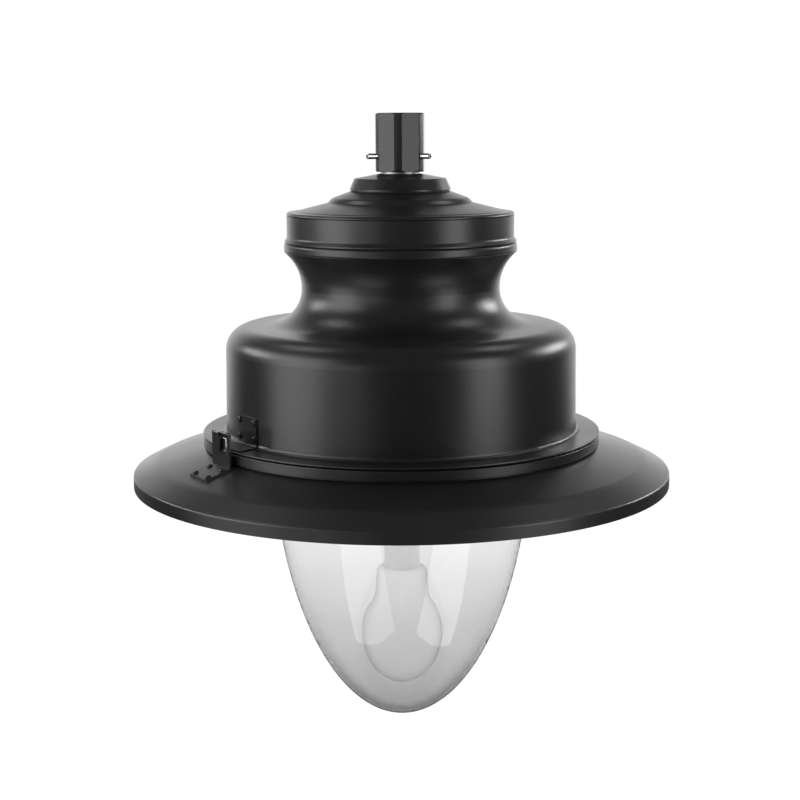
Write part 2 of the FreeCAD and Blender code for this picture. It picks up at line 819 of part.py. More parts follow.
def gear_can(radius, height, place):
    """A round can on the tray, with its threaded stud and nut under the tray."""
    can = turned([(0, tray_height), (radius, tray_height), (radius, tray_height + height, capacitor_lid_rounding),
                  (0, tray_height + height)])
    stud_length = tray_sheet + can_nut_thickness
    stud = cylinder(can_stud_radius, stud_length, point(0, tray_height - stud_length))
    nut = hexagon(can_nut_flat_radius, can_nut_thickness, tray_height - stud_length)
    shape = fused([can, stud, nut])
    shape.translate(FreeCAD.Vector(place[0], place[1], 0))
    return shape


# Lamp group

def make_lampholder_bracket():
    half_gap = holder_bracket_gap / 2
    half_width = holder_bracket_width / 2
    sheet = holder_bracket_sheet
    top = tray_height - tray_sheet
    web_height = holder_mouth_height + holder_skirt_height + holder_body_height
    web = block((-half_gap - sheet, half_gap + sheet), (-half_width, half_width), (web_height, web_height + sheet))
    pieces = [web]
    for side in (-1, 1):
        inner = side * half_gap
        outer = side * (half_gap + sheet)
        end = side * (half_gap + sheet + holder_bracket_foot)
        pieces.append(block(sorted((inner, outer)), (-half_width, half_width), (web_height, top)))
        pieces.append(block(sorted((inner, end)), (-half_width, half_width), (top - sheet, top)))
    shape = fused(pieces)
    for place in holder_foot_places():
        base = FreeCAD.Vector(place[0], place[1], top - sheet)
        shape = shape.cut(cylinder(gear_screw_radius, sheet, base))
    return shape


def make_lampholder():
    skirt_top = holder_mouth_height + holder_skirt_height
    body_top = skirt_top + holder_body_height
    pocket_top = holder_mouth_height + holder_pocket_depth
    return turned([(0, pocket_top), (holder_mouth_radius, pocket_top), (holder_mouth_radius, holder_mouth_height),
                   (holder_skirt_radius, holder_mouth_height, holder_rounding / 2),
                   (holder_skirt_radius, skirt_top), (holder_radius, skirt_top, holder_rounding),
                   (holder_radius, body_top, holder_rounding), (0, body_top)])


def lamp_cap_top():
    return cap_neck_height + cap_shell_length


def make_lamp_cap():
    inner = cap_radius - lamp_glass
    top = lamp_cap_top()
    contact_top = holder_mouth_height + holder_pocket_depth
    return turned([(0, top - lamp_glass), (inner, top - lamp_glass), (inner, cap_neck_height),
                   (cap_radius, cap_neck_height), (cap_radius, top, holder_rounding),
                   (cap_contact_radius, top), (cap_contact_radius, contact_top, cap_contact_rounding),
                   (0, contact_top)])


def lamp_solid(inset):
    """The bulb's neck, throat and belly, ending in a rounded tip, drawn in by the inset."""
    top = cap_neck_height
    neck = cap_radius - inset
    throat = lamp_throat_radius - inset
    belly = lamp_belly_radius - inset
    tip = lamp_tip_height + inset
    drop = lamp_throat_height - lamp_belly_height
    poles = [point(neck, top), point(throat, top - inset), point(throat, (top + lamp_throat_height) / 2),
             point(throat, lamp_throat_height - drop * lamp_swell_share),
             point(belly, lamp_belly_height + drop * lamp_swell_share), point(belly, lamp_belly_height)]
    side = Part.BSplineCurve()
    side.buildFromPoles(poles, False, 3)
    dome = quarter_ellipse(belly, lamp_belly_height - tip, lamp_belly_height)
    edges = [Part.makeLine(point(0, top), point(neck, top)), side.toShape(), dome,
             Part.makeLine(point(0, tip), point(0, top))]
    return Part.Face(Part.Wire(edges)).revolve(ORIGIN, Z_AXIS, 360)


def quarter_ellipse(width, depth, height):
    """The arc of an ellipse from (width, height) down to (0, height - depth)."""
    if depth > width:
        curve = Part.Ellipse(point(0, height - depth), point(width, height), point(0, height))
    else:
        curve = Part.Ellipse(point(width, height), point(0, height - depth), point(0, height))
    start = curve.parameter(point(width, height))
    end = curve.parameter(point(0, height - depth))
    quarter = math.pi / 2
    if abs(abs(start - end) - quarter) > quarter / 2:
        end += math.copysign(2 * math.pi, start - end)
    return Part.ArcOfEllipse(curve, min(start, end), max(start, end)).toShape()


def make_lamp_bulb():
    return lamp_solid(0).cut(lamp_solid(lamp_glass))


def make_arc_tube():
    tube = turned([(0, arc_tube_height), (arc_tube_radius, arc_tube_height, arc_tube_radius / 2),
                   (arc_tube_radius, arc_tube_height + arc_tube_length, arc_tube_radius / 2),
                   (0, arc_tube_height + arc_tube_length)])
    stem_top = lamp_cap_top() - lamp_glass
    stem_base = arc_tube_height + arc_tube_length - arc_stem_radius
    return tube.fuse(cylinder(arc_stem_radius, stem_top - stem_base, point(0, stem_base))).removeSplitter()


def reflector_hanger_places():
    places = []
    for index in range(reflector_hanger_count):
        azimuth = tray_screw_first_azimuth + 360.0 * index / reflector_hanger_count
        places.append(radial(azimuth) * reflector_hanger_circle)
    return places


def reflector_face():
    """Section of the spun reflector: flat top, bellied cone and a flat lip."""
    neck = point(reflector_neck_radius, reflector_neck_height)
    top_end = point(reflector_hanger_circle + 2 * reflector_hanger_head_radius, reflector_neck_height)
    mouth = point(reflector_mouth_radius, reflector_mouth_height)
    lip = point(reflector_mouth_radius + reflector_lip, reflector_mouth_height)
    middle = (top_end + mouth) * 0.5
    middle.z += reflector_bulge_share * (reflector_neck_height - reflector_mouth_height)
    edges = [Part.makeLine(neck, top_end), Part.Arc(top_end, middle, mouth).toShape(), Part.makeLine(mouth, lip)]
    return Part.Wire(edges).makeOffset2D(-reflector_sheet, join=2, fill=True, openResult=True, intersection=False)


def make_reflector():
    dish = reflector_face().revolve(ORIGIN, Z_AXIS, 360)
    base = reflector_neck_height - reflector_sheet
    holes = [cylinder(reflector_hanger_radius, reflector_sheet, FreeCAD.Vector(place.x, place.y, base))
             for place in reflector_hanger_places()]
    return dish.cut(holes)


def make_reflector_hangers():
    base = reflector_neck_height - reflector_sheet
    hangers = []
    for place in reflector_hanger_places():
        foot = FreeCAD.Vector(place.x, place.y, base)
        shank = cylinder(reflector_hanger_radius, tray_height - base, foot)
        head_base = foot - FreeCAD.Vector(0, 0, gear_screw_head_height)
        head = cylinder(reflector_hanger_head_radius, gear_screw_head_height, head_base)
        hangers.append(shank.fuse(head).removeSplitter())
    return Part.makeCompound(hangers)


# Canopy group

def make_canopy_ring():
    inner = ring_neck_radius - ring_wall
    lip_foot = ring_top_height - ring_lip_thickness
    corners = [(ring_lip_radius, lip_foot), (inner, lip_foot), (inner, brim_height(inner)),
               (ring_neck_radius, brim_height(ring_neck_radius)), (ring_neck_radius, ring_skirt_height),
               (ring_radius, ring_skirt_height, ring_edge_rounding),
               (ring_radius, ring_top_height, ring_edge_rounding), (ring_lip_radius, ring_top_height)]
    return turned(corners).cut(carrier_rivet_holes())


def make_canopy_brim():
    corners = [(brim_inner_radius, brim_height(brim_inner_radius)),
               (brim_bend_radius, brim_height(brim_bend_radius), brim_bend_rounding),
               (brim_radius, brim_edge_height, brim_edge_rounding), (brim_radius, 0)]
    shell = spun(corners, -brim_sheet)
    hem_centre = point(brim_radius - brim_sheet, brim_hem_radius)
    hem = Part.Face(Part.Wire(Part.makeCircle(brim_hem_radius, hem_centre, FreeCAD.Vector(0, 1, 0))))
    body = fused([shell, hem.revolve(ORIGIN, Z_AXIS, 360)])
    for holes in (hasp_rivet_holes(), leaf_rivet_holes()):
        body = body.cut(holes)
    return body


def make_bowl_carrier():
    hole_radius = bowl_radius + carrier_hole_clearance
    lip_top = ring_top_height - ring_lip_thickness
    lip_foot = lip_top - carrier_lip_thickness
    wall_inner = carrier_wall_radius - carrier_sheet
    body = turned([(hole_radius, carrier_height), (carrier_wall_radius, carrier_height, carrier_bend_radius),
                   (carrier_wall_radius, lip_foot), (carrier_lip_radius, lip_foot), (carrier_lip_radius, lip_top),
                   (wall_inner, lip_top), (wall_inner, carrier_top_height), (hole_radius, carrier_top_height)])
    return body.cut(carrier_rivet_holes() + clamp_ring_screw_holes())


def carrier_rivet_holes():
    length = ring_lip_thickness + carrier_lip_thickness
    hole = cylinder(carrier_rivet_radius, length, point(carrier_rivet_circle, ring_top_height - length))
    return ring_of(hole, carrier_rivet_count)


def make_carrier_rivets():
    length = ring_lip_thickness + carrier_lip_thickness
    foot = ring_top_height - length
    shank = cylinder(carrier_rivet_radius, length, point(carrier_rivet_circle, foot))
    head = cylinder(carrier_rivet_head_radius, carrier_rivet_head_height,
                    point(carrier_rivet_circle, foot - carrier_rivet_head_height))
    rivet = shank.fuse(head).removeSplitter()
    return Part.makeCompound(ring_of(rivet, carrier_rivet_count))


def bowl_body(inset, depth_inset):
    centre_height = bowl_mouth_height - bowl_rim_thickness / 2
    arc = quarter_ellipse(bowl_radius - inset, bowl_depth - depth_inset, centre_height)
    top = bowl_mouth_height
    edges = [arc, Part.makeLine(point(bowl_radius - inset, centre_height), point(bowl_radius - inset, top)),
             Part.makeLine(point(bowl_radius - inset, top), point(0, top)),
             Part.makeLine(point(0, top), point(0, centre_height - bowl_depth + depth_inset))]
    return Part.Face(Part.Wire(Part.__sortEdges__(edges))).revolve(ORIGIN, Z_AXIS, 360)


def make_bowl():
    rim_foot = bowl_mouth_height - bowl_rim_thickness
    rim = cylinder(bowl_radius + bowl_rim_width, bowl_rim_thickness, point(0, rim_foot))
    tip = bowl_mouth_height - bowl_rim_thickness / 2 - bowl_depth
    gate = cylinder(bowl_gate_radius, bowl_gate_height + bowl_wall / 2, point(0, tip - bowl_gate_height))
    return fused([bowl_body(0, 0), rim, gate]).cut(bowl_body(bowl_wall, bowl_wall))


def make_bowl_gasket():
    outer = bowl_radius + bowl_rim_width
    inner = outer - bowl_gasket_width
    foot = carrier_top_height
    top = bowl_mouth_height - bowl_rim_thickness
    return turned([(inner, foot), (outer, foot), (outer, top), (inner, top)])


def make_bowl_clamp_ring():
    top = bowl_mouth_height + clamp_ring_sheet
    low = carrier_top_height + clamp_ring_sheet
    step = clamp_ring_step_radius
    corners = [(clamp_ring_inner_radius, bowl_mouth_height), (step, bowl_mouth_height),
               (step, carrier_top_height), (clamp_ring_outer_radius, carrier_top_height),
               (clamp_ring_outer_radius, low), (step + clamp_ring_sheet, low), (step + clamp_ring_sheet, top),
               (clamp_ring_inner_radius, top)]
    return turned(corners).cut(clamp_ring_screw_holes())


def clamp_ring_screw_holes():
    length = carrier_sheet + clamp_ring_sheet
    hole = cylinder(clamp_ring_screw_radius, length, point(clamp_ring_screw_circle, carrier_height))
    return ring_of(hole, clamp_ring_screw_count)


def make_bowl_screws():
    length = carrier_sheet + clamp_ring_sheet
    shank = cylinder(clamp_ring_screw_radius, length, point(clamp_ring_screw_circle, carrier_height))
    head = cylinder(clamp_ring_screw_head_radius, clamp_ring_screw_head_height,
                    point(clamp_ring_screw_circle, carrier_height + length))
    return Part.makeCompound(ring_of(shank.fuse(head).removeSplitter(), clamp_ring_screw_count))


# Rivets, in a frame where the rivet's axis is Z and the riveted face is at zero

def blind_rivet(grip):
    shank = cylinder(rivet_radius, grip, FreeCAD.Vector(0, 0, -grip))
    head = turned([(0, 0), (rivet_head_radius, 0), (rivet_head_radius, rivet_head_height, rivet_head_rounding),
                   (rivet_dimple_radius, rivet_head_height),
                   (rivet_dimple_radius, rivet_head_height - rivet_dimple_depth),
                   (0, rivet_head_height - rivet_dimple_depth)])
    tail = cylinder(rivet_tail_radius, rivet_tail_height, FreeCAD.Vector(0, 0, -grip - rivet_tail_height))
    return fused([head, shank, tail])


def drum_rivet_frames(side):
    """Azimuth, face radius and height of each rivet that holds a bracket to the drum."""
    spread = math.degrees(drum_rivet_spacing / 2 / drum_foot_radius)
    return [(side + turn * spread, drum_radius(height) + bracket_sheet, height)
            for height in drum_rivet_heights for turn in (-1, 1)]


def on_drum(shape, frame):
    placed = shape.copy()
    draft = math.atan2(drum_foot_radius - drum_top_radius, drum_top_height - flange_top_height)
    placed.rotate(ORIGIN, FreeCAD.Vector(0, 1, 0), 90 - math.degrees(draft))
    placed.translate(point(frame[1], frame[2]))
    return at_azimuth(placed, frame[0])


def drum_rivet_holes(side):
    depth = bracket_sheet + 2 * housing_sheet
    hole = cylinder(rivet_radius, depth + bracket_sheet, FreeCAD.Vector(0, 0, -depth))
    return [on_drum(hole, frame) for frame in drum_rivet_frames(side)]


def make_drum_rivets(side):
    rivet = blind_rivet(bracket_sheet + housing_sheet + rivet_play)
    return Part.makeCompound([on_drum(rivet, frame) for frame in drum_rivet_frames(side)])


def on_brim(shape, side, radius, lift, offset):
    """Puts a shape square on the brim's cone, lifted off it and moved sideways round the axis."""
    placed = shape.copy()
    placed.rotate(ORIGIN, FreeCAD.Vector(0, 1, 0), brim_cone_slope)
    slope = math.radians(brim_cone_slope)
    placed.translate(point(radius + lift * math.sin(slope), brim_height(radius) + lift * math.cos(slope)))
    return at_azimuth(placed, side + math.degrees(math.asin(offset / radius)))


def brim_rivets(shape, side, radii, lift):
    return [on_brim(shape, side, radius, lift, turn * foot_rivet_spacing / 2)
            for radius in radii for turn in (-1, 1)]


def brim_rivet_hole():
    depth = 2 * brim_sheet + hasp_sheet
    return cylinder(rivet_radius, depth + hasp_sheet, FreeCAD.Vector(0, 0, -depth))


def hasp_rivet_holes():
    return brim_rivets(brim_rivet_hole(), catch_azimuth, hasp_rivet_radii, hasp_sheet)


def leaf_rivet_radii():
    return [hinge_radius + place for place in hinge_leaf_rivet_places]


def leaf_rivet_holes():
    return brim_rivets(brim_rivet_hole(), hinge_azimuth, leaf_rivet_radii(), hinge_arm_sheet)


def make_brim_rivets(side, radii, sheet):
    return Part.makeCompound(brim_rivets(blind_rivet(sheet + brim_sheet), side, radii, sheet))


# Brackets

def bracket_path(end_radius):
    return [(drum_radius(bracket_top_height), bracket_top_height),
            (drum_foot_radius, flange_top_height, drum_foot_bend_radius), (end_radius, flange_top_height)]


def make_drum_bracket(side):
    face = spun_face(bracket_path(bracket_shelf_radius), bracket_sheet)
    root = drum_foot_radius + drum_foot_bend_radius
    shelf = [FreeCAD.Vector(radius, half, flange_top_height)
             for radius, half in ((root, -bracket_width / 2), (bracket_shelf_radius, -bracket_shelf_width / 2),
                                  (bracket_shelf_radius, bracket_shelf_width / 2), (root, bracket_width / 2))]
    plate = Part.Face(Part.makePolygon(shelf + shelf[:1])).extrude(FreeCAD.Vector(0, 0, bracket_sheet))
    shape = fused([strip(face, bracket_width / 2, drum_foot_radius), plate])
    return at_azimuth(shape, side).cut(drum_rivet_holes(side))


def cone_plate(start_radius, end_radius, sheet, half_width):
    """A plate that lies on the brim's cone, with parallel sides."""
    path = [(start_radius, brim_height(start_radius)), (end_radius, brim_height(end_radius))]
    return strip(spun_face(path, sheet), half_width, start_radius)


def make_hasp_bracket():
    half = hasp_width / 2
    outer = hasp_inner_radius + hasp_sheet
    foot = cone_plate(hasp_inner_radius, hasp_foot_radius, hasp_sheet, half)
    upright = block((hasp_inner_radius, outer), (-half, half), (brim_height(hasp_inner_radius), hasp_top_height))
    top_edges = [edge for edge in upright.Edges
                 if abs(edge.BoundBox.ZMin - hasp_top_height) < hasp_sheet / 2
                 and edge.BoundBox.XLength > edge.BoundBox.YLength]
    upright = upright.makeFillet(hasp_corner_rounding, top_edges)
    right = half - hasp_window_margin
    window = block((hasp_inner_radius - hasp_sheet, outer + hasp_sheet), (right - hasp_window_width, right),
                   (hasp_window_sill_height, hasp_window_sill_height + hasp_window_height))
    notch_half = lever_bridge_width / 2 + hasp_notch_clearance
    notch = block((hasp_inner_radius - hasp_sheet, outer + hasp_sheet),
                  (lever_bridge_place - notch_half, lever_bridge_place + notch_half),
                  (hasp_top_height - hasp_notch_depth, hasp_top_height + hasp_sheet))
    below = block((0, 2 * hasp_foot_radius), (-2 * half, 2 * half), (-hasp_foot_radius, 0))
    shape = fused([upright.cut([window, notch]), foot]).cut(below)
    return at_azimuth(shape, catch_azimuth).cut(hasp_rivet_holes())


# Catch, in the frame where X points outwards through the catch

def nose_back_radius():
    return hasp_inner_radius - catch_gap - nose_thickness


def lever_back_radius():
    return nose_back_radius() - lever_sheet


def make_catch_guide():
    back = guide_front_radius - guide_depth
    base = flange_top_height + bracket_sheet
    centre = guide_place
    body = block((back, guide_front_radius), (centre - guide_width / 2, centre + guide_width / 2),
                 (base, base + guide_height))
    hole = cylinder(plunger_radius + plunger_clearance, 2 * guide_depth,
                    FreeCAD.Vector(back - guide_depth / 2, centre, plunger_height), FreeCAD.Vector(1, 0, 0))
    return at_azimuth(body.cut(hole), catch_azimuth)


def make_catch_lever():
    back = lever_back_radius()
    front = back + lever_sheet
    hasp_outer = hasp_inner_radius + hasp_sheet
    tab_back = hasp_outer + tab_gap
    tab_front = tab_back + lever_sheet
    bridge_foot = hasp_top_height - hasp_notch_depth + lever_top_gap
    bridge_top = bridge_foot + lever_sheet
    half_bridge = lever_bridge_width / 2
    left = lever_bridge_place - half_bridge
    right = lever_bridge_place + half_bridge
    plate_foot = flange_top_height + bracket_sheet + lever_shelf_gap
    plate = block((back, front), (guide_place - half_bridge, nose_right_place),
                  (plate_foot, plate_foot + lever_plate_height))
    column = block((back, front), (left, right), (plate_foot, bridge_top))
    bridge = block((back, tab_front), (left, right), (bridge_foot, bridge_top))
    tab_top = bridge_top
    tab_left = lever_bridge_place - lever_bridge_width / 2 - lever_sheet
    tab = block((tab_back, tab_front), (tab_left, tab_left + tab_width), (tab_top - tab_height, tab_top))
    corner = [edge for edge in tab.Edges
              if edge.BoundBox.XLength > edge.BoundBox.YLength
              and edge.BoundBox.XLength > edge.BoundBox.ZLength and edge.BoundBox.ZMin > tab_top - tab_height / 2
              and edge.BoundBox.YMin > tab_left + tab_width / 2]
    tab = tab.makeFillet(tab_corner_rounding, corner)
    tail = guide_front_radius - guide_depth - plunger_tail
    plunger = cylinder(plunger_radius, back - tail, FreeCAD.Vector(tail, guide_place, plunger_height),
                       FreeCAD.Vector(1, 0, 0))
    return at_azimuth(fused([plate, column, bridge, tab, plunger]), catch_azimuth)


def make_catch_nose():
    back = nose_back_radius()
    right = nose_right_place
    foot = hasp_window_sill_height + nose_sill_gap
    body = block((back, back + nose_thickness), (right - nose_width, right), (foot, foot + nose_height))
    hole = cylinder(nose_hole_radius, 2 * nose_thickness,
                    FreeCAD.Vector(back, right - nose_width / 2, foot + nose_height * nose_hole_share),
                    FreeCAD.Vector(1, 0, 0))
    return at_azimuth(body.cut(hole), catch_azimuth)


def make_catch_spring():
    """One unbroken coil round the plunger, between the guide and the lever."""
    start = guide_front_radius + catch_spring_wire
    length = lever_back_radius() - catch_spring_wire - start
    mean_radius = plunger_radius + catch_spring_clearance + catch_spring_wire
    pitch = length / catch_spring_turns
    path = Part.makeHelix(pitch, length, mean_radius)
    corners = []
    for index in range(catch_spring_sides + 1):
        turn = 2 * math.pi * index / catch_spring_sides
        corners.append(point(mean_radius + catch_spring_wire / 2 * math.cos(turn),
                             catch_spring_wire / 2 * math.sin(turn)))
    coil = Part.Wire(path).makePipeShell([Part.makePolygon(corners)], True, True)
    coil.rotate(ORIGIN, FreeCAD.Vector(0, 1, 0), 90)
    coil.translate(FreeCAD.Vector(start, guide_place, plunger_height))
    print("catch spring least gap to itself", round(pitch - catch_spring_wire, 3))
    return at_azimuth(coil, catch_azimuth)


# Hinge, in the frame where X points outwards through the hinge

def pin_point(offset):
    return FreeCAD.Vector(hinge_radius, offset, hinge_height)


def knuckle(low, high, bore_radius):
    along = FreeCAD.Vector(0, 1, 0)
    barrel = cylinder(knuckle_radius, high - low, pin_point(low), along)
    return barrel, cylinder(bore_radius, high - low, pin_point(low), along)


def outer_knuckle_spans():
    inner = hinge_knuckle_width / 2 + hinge_side_gap
    outer = hinge_width / 2
    return [(-outer, -inner), (inner, outer)]


def arm_face():
    """Section of the arm that runs from the bracket's shelf down to the knuckle."""
    start = point(bracket_shelf_radius, flange_top_height)
    bend = point(bracket_shelf_radius + hinge_arm_sheet, flange_top_height)
    end = point(hinge_radius, hinge_height + knuckle_radius - hinge_arm_sheet)
    corners = [(start.x, start.z), (bend.x, bend.z), (end.x, end.z)]
    return spun_face(corners, bracket_sheet)


def make_hinge_upper_leaf():
    shelf_face = spun_face(bracket_path(bracket_shelf_radius), bracket_sheet)
    shelf = strip(shelf_face, hinge_width / 2, drum_foot_radius)
    pieces = [shelf]
    for low, high in outer_knuckle_spans():
        arm = arm_face().extrude(FreeCAD.Vector(0, high - low, 0))
        arm.translate(FreeCAD.Vector(0, low, 0))
        barrel, bore = knuckle(low, high, hinge_pin_radius)
        pieces.append(arm.fuse(barrel).cut(bore))
    bridge = block((drum_foot_radius + drum_foot_bend_radius, bracket_shelf_radius),
                   (-hinge_width / 2, hinge_width / 2), (flange_top_height, flange_top_height + bracket_sheet))
    shape = fused(pieces + [bridge])
    return at_azimuth(shape, hinge_azimuth).cut(drum_rivet_holes(hinge_azimuth))


def make_hinge_lower_leaf():
    start = hinge_radius + hinge_leaf_start
    plate = cone_plate(start, hinge_radius + hinge_leaf_length, hinge_arm_sheet, hinge_width / 2)
    half = hinge_knuckle_width / 2
    tongue = cone_plate(hinge_radius, start + hinge_arm_sheet, hinge_arm_sheet, half)
    barrel, bore = knuckle(-half, half, hinge_pin_radius + hinge_clearance)
    web = block((hinge_radius, hinge_radius + knuckle_radius), (-half, half),
                (brim_height(hinge_radius) + hinge_arm_sheet / 2, hinge_height))
    shape = fused([plate, tongue, barrel, web]).cut(bore)
    return at_azimuth(shape, hinge_azimuth).cut(leaf_rivet_holes())


def make_hinge_pin():
    along = FreeCAD.Vector(0, 1, 0)
    half = hinge_width / 2
    shank = cylinder(hinge_pin_radius, hinge_width + hinge_pin_head_length, pin_point(-half), along)
    head = cylinder(hinge_pin_head_radius, hinge_pin_head_length, pin_point(-half - hinge_pin_head_length), along)
    return at_azimuth(shank.fuse(head).removeSplitter(), hinge_azimuth)


# All nodes

def all_nodes():
    nodes = {"pipe_coupler": make_pipe_coupler(), "coupler_washer": make_coupler_washer(),
             "coupler_locknut": make_coupler_locknut(), "cable_gland": make_cable_gland()}
    for name, azimuth in clamp_screw_azimuths.items():
        nodes["clamp_screw_" + name] = make_clamp_screw(azimuth)
    nodes.update({
        "top_collar": make_top_collar(), "collar_gasket": make_collar_gasket(),
        "roof_cover": make_roof_cover(), "crown_ring": make_crown_ring(), "housing": make_housing(),
        "head_seal": make_head_seal(), "flange_clip": make_flange_clip(),
        "gear_tray": make_gear_tray(), "tray_screws": make_tray_screws(),
        "ballast": make_ballast(), "terminal_block": make_terminal_block(),
        "ignitor": gear_can(ignitor_radius, ignitor_height, ignitor_place),
        "capacitor": gear_can(capacitor_radius, capacitor_height, capacitor_place),
        "gear_screws": make_gear_screws(),
        "lampholder_bracket": make_lampholder_bracket(), "lampholder": make_lampholder(),
        "lamp_cap": make_lamp_cap(), "lamp_bulb": make_lamp_bulb(), "arc_tube": make_arc_tube(),
        "reflector": make_reflector(), "reflector_hangers": make_reflector_hangers(),
        "canopy_ring": make_canopy_ring(), "canopy_brim": make_canopy_brim(),
        "bowl_carrier": make_bowl_carrier(), "carrier_rivets": make_carrier_rivets(),
        "bowl": make_bowl(), "bowl_gasket": make_bowl_gasket(),
        "bowl_clamp_ring": make_bowl_clamp_ring(), "bowl_screws": make_bowl_screws(),
        "catch_bracket": make_drum_bracket(bracket_azimuth),
        "catch_bracket_rivets": make_drum_rivets(bracket_azimuth),
        "catch_guide": make_catch_guide(), "catch_lever": make_catch_lever(),
        "catch_nose": make_catch_nose(), "catch_spring": make_catch_spring(),
        "hasp_bracket": make_hasp_bracket(),
        "hasp_rivets": make_brim_rivets(catch_azimuth, hasp_rivet_radii, hasp_sheet),
        "hinge_upper_leaf": make_hinge_upper_leaf(), "hinge_upper_rivets": make_drum_rivets(hinge_azimuth),
        "hinge_lower_leaf": make_hinge_lower_leaf(),
        "hinge_lower_rivets": make_brim_rivets(hinge_azimuth, leaf_rivet_radii(), hinge_arm_sheet),
        "hinge_pin": make_hinge_pin()})
    return nodes


def main():
    os.makedirs("parts", exist_ok=True)
    for name, shape in all_nodes().items():
        shape.translate(FreeCAD.Vector(0, 0, -mouth_height))
        if not shape.isValid():
            print("not valid:", name)
        shape.exportStep("parts/" + name + ".step")


main()
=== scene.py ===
import json
import math

import bpy
from mathutils import Matrix, Vector


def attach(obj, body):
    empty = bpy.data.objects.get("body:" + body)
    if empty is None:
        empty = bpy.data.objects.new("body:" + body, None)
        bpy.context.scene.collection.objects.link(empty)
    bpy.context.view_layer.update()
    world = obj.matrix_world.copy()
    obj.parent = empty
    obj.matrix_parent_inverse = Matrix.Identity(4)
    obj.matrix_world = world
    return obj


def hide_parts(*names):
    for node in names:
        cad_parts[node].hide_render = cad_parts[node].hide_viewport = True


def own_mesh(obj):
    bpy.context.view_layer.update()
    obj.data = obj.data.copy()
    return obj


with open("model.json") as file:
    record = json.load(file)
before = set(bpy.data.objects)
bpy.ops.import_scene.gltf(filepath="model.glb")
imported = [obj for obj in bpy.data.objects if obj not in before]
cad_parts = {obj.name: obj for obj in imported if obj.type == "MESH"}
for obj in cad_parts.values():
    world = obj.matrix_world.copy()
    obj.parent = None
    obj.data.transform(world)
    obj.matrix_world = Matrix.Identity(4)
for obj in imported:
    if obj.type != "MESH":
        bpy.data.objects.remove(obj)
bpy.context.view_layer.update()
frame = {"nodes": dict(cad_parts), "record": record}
nodes = frame["nodes"]

MM = 0.001
WHITE = (1, 1, 1, 1)


# Node trees

class Wiring:
    """Short names for building a node tree."""

    def __init__(self, tree):
        self.nodes = tree.nodes
        self.links = tree.links

    def add(self, kind, **values):
        node = self.nodes.new(kind)
        for key, value in values.items():
            setattr(node, key, value)
        return node

    def join(self, source, target):
        self.links.new(source, target)

    def calculate(self, operation, *terms, clamp=False):
        """A Math node; each term is a socket or a plain number."""
        node = self.add("ShaderNodeMath", operation=operation, use_clamp=clamp)
        for term, socket in zip(terms, node.inputs):
            if isinstance(term, float):
                socket.default_value = term
            else:
                self.join(term, socket)
        return node.outputs[0]

    def axes(self, source):
        split = self.add("ShaderNodeSeparateXYZ")
        self.join(source, split.inputs[0])
        return split.outputs

    def spread(self, source, low, high, first=0.3, last=0.7, smooth=False):
        """Carries the span from first to last over to the span from low to high."""
        node = self.add("ShaderNodeMapRange", interpolation_type="SMOOTHSTEP" if smooth else "LINEAR")
        node.inputs["From Min"].default_value = first
        node.inputs["From Max"].default_value = last
        node.inputs["To Min"].default_value = low
        node.inputs["To Max"].default_value = high
        self.join(source, node.inputs["Value"])
        return node.outputs["Result"]

    def colours(self, source, stops):
        ramp = self.add("ShaderNodeValToRGB")
        elements = ramp.color_ramp.elements
        while len(elements) < len(stops):
            elements.new(0.5)
        for element, (position, colour) in zip(elements, stops):
            element.position = position
            element.color = (*colour, 1)
        self.join(source, ramp.inputs["Fac"])
        return ramp.outputs["Color"]

    def ray(self, kind):
        """1 for rays of that kind, otherwise 0."""
        return self.add("ShaderNodeLightPath").outputs[f"Is {kind} Ray"]

    def seen_directly(self):
        """1 for rays from the camera and rays through glass, otherwise 0."""
        return self.calculate("MAXIMUM", self.ray("Camera"), self.ray("Transmission"))


class Finish(Wiring):
    """A new Principled material."""

    def __init__(self, name):
        self.material = bpy.data.materials.new(name)
        self.material.use_nodes = True
        super().__init__(self.material.node_tree)
        self.shader = self.nodes["Principled BSDF"]
        self.where = self.add("ShaderNodeTexCoord").outputs["Object"]

    def noise(self, scale, detail=3.0, roughness=0.5, stretch=None):
        texture = self.add("ShaderNodeTexNoise")
        texture.inputs["Scale"].default_value = scale
        texture.inputs["Detail"].default_value = detail
        texture.inputs["Roughness"].default_value = roughness
        source = self.where
        if stretch:
            mapping = self.add("ShaderNodeMapping")
            mapping.inputs["Scale"].default_value = stretch
            self.join(source, mapping.inputs["Vector"])
            source = mapping.outputs["Vector"]
        self.join(source, texture.inputs["Vector"])
        return texture.outputs["Fac"]

    def rim(self, first, last, smooth=False):
        """0 where the surface faces the eye, rising to 1 towards its outline."""
        facing = self.add("ShaderNodeLayerWeight").outputs["Facing"]
        return self.spread(facing, 0.0, 1.0, first, last, smooth)

    def blend(self, share, first, second):
        """Mixes two colours, each a socket or a plain shade of grey, by a share from 0 to 1."""
        node = self.add("ShaderNodeMix", data_type="RGBA")
        self.join(share, node.inputs[0])
        for socket, colour in ((node.inputs[6], first), (node.inputs[7], second)):
            if isinstance(colour, float):
                socket.default_value = (colour, colour, colour, 1)
            else:
                self.join(colour, socket)
        return node.outputs[2]

    def bump(self, source, distance, strength, under=None):
        node = self.add("ShaderNodeBump")
        node.inputs["Distance"].default_value = distance
        node.inputs["Strength"].default_value = strength
        self.join(source, node.inputs["Height"])
        if under:
            self.join(under, node.inputs["Normal"])
        return node.outputs["Normal"]

    def done(self, colour, roughness, normal, glow=0.0, **constants):
        self.join(colour, self.shader.inputs["Base Color"])
        self.join(roughness, self.shader.inputs["Roughness"])
        self.join(normal, self.shader.inputs["Normal"])
        self.shader.inputs["Emission Color"].default_value = WHITE
        self.shader.inputs["Emission Strength"].default_value = glow
        for key, value in constants.items():
            self.shader.inputs[key.replace("_", " ")].default_value = value
        return self.material


